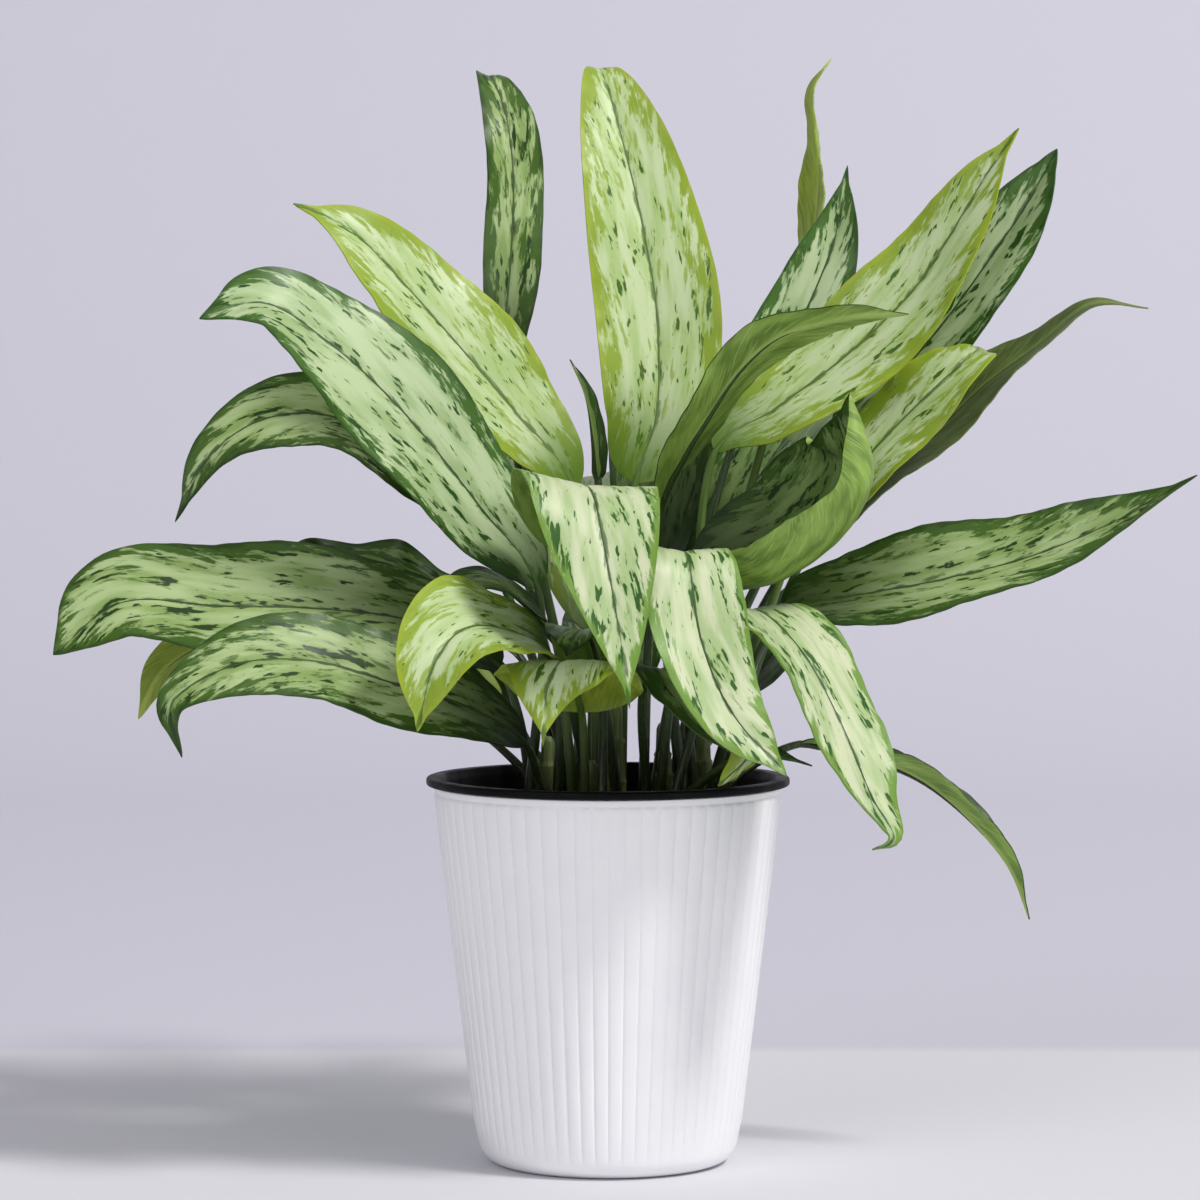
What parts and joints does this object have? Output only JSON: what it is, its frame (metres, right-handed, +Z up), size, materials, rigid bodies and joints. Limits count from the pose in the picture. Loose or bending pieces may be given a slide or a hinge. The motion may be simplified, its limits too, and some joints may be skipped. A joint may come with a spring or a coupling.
{
  "type": "potted silver queen chinese evergreen",
  "caption": "Bushy potted evergreen with long arching silver-green leaves mottled dark green, on short canes in a white ribbed pot with a black inner pot.",
  "frame": {"origin": "centre of the pot's flat underside", "axes": "+X to the viewer's right, +Y away from the viewer, +Z up"},
  "size_m": [0.5524, 0.3737, 0.5572],
  "materials": {
    "pot": "gloss white",
    "liner": "satin black",
    "soil": "loose dark potting mix of bark and peat",
    "cane": "living green stem",
    "leaf_silver": "living leaf, waxy, silver-green with dark green blotches",
    "leaf_lime": "living leaf, waxy, young, silver-green with lime margins",
    "leaf_deep": "living leaf, waxy, seen from its plain green underside or in the shade"
  },
  "bodies": {
    "root": {"pot": "pot", "liner": "liner", "soil": "soil", "cane_1": "cane", "cane_2": "cane", "cane_3": "cane", "cane_4": "cane", "cane_5": "cane", "cane_6": "cane", "cane_7": "cane", "leaf_left_long": "leaf_silver", "leaf_left_lime": "leaf_lime", "leaf_upright_left": "leaf_deep", "leaf_left_hooked": "leaf_deep", "leaf_left_broad": "leaf_silver", "leaf_left_back": "leaf_deep", "leaf_left_low": "leaf_silver", "leaf_left_under": "leaf_deep", "leaf_front_left": "leaf_lime", "leaf_front_left_inner": "leaf_deep", "leaf_front_small": "leaf_lime", "leaf_front_shade": "leaf_deep", "leaf_front_centre": "leaf_silver", "leaf_front_right": "leaf_silver", "leaf_front_under": "leaf_deep", "leaf_right_drooping": "leaf_silver", "leaf_upright_centre": "leaf_lime", "leaf_new_spear": "leaf_deep", "leaf_right_arching": "leaf_deep", "leaf_upright_right": "leaf_silver", "leaf_upright_thin": "leaf_lime", "leaf_right_lime": "leaf_lime", "leaf_right_silver": "leaf_silver", "leaf_right_short": "leaf_lime", "leaf_right_thread": "leaf_deep", "leaf_right_cupped": "leaf_deep", "leaf_right_long": "leaf_silver", "leaf_right_trailing": "leaf_deep", "leaf_rim_small": "leaf_lime", "leaf_back_centre_high": "leaf_silver", "leaf_back_centre_mid": "leaf_lime", "leaf_back_centre_low": "leaf_silver", "leaf_back_left_high": "leaf_silver", "leaf_back_left_low": "leaf_deep", "leaf_back_right_high": "leaf_silver", "leaf_back_right_low": "leaf_deep", "leaf_back_left_side": "leaf_silver", "leaf_back_right_side": "leaf_silver"}
  },
  "joints": []
}
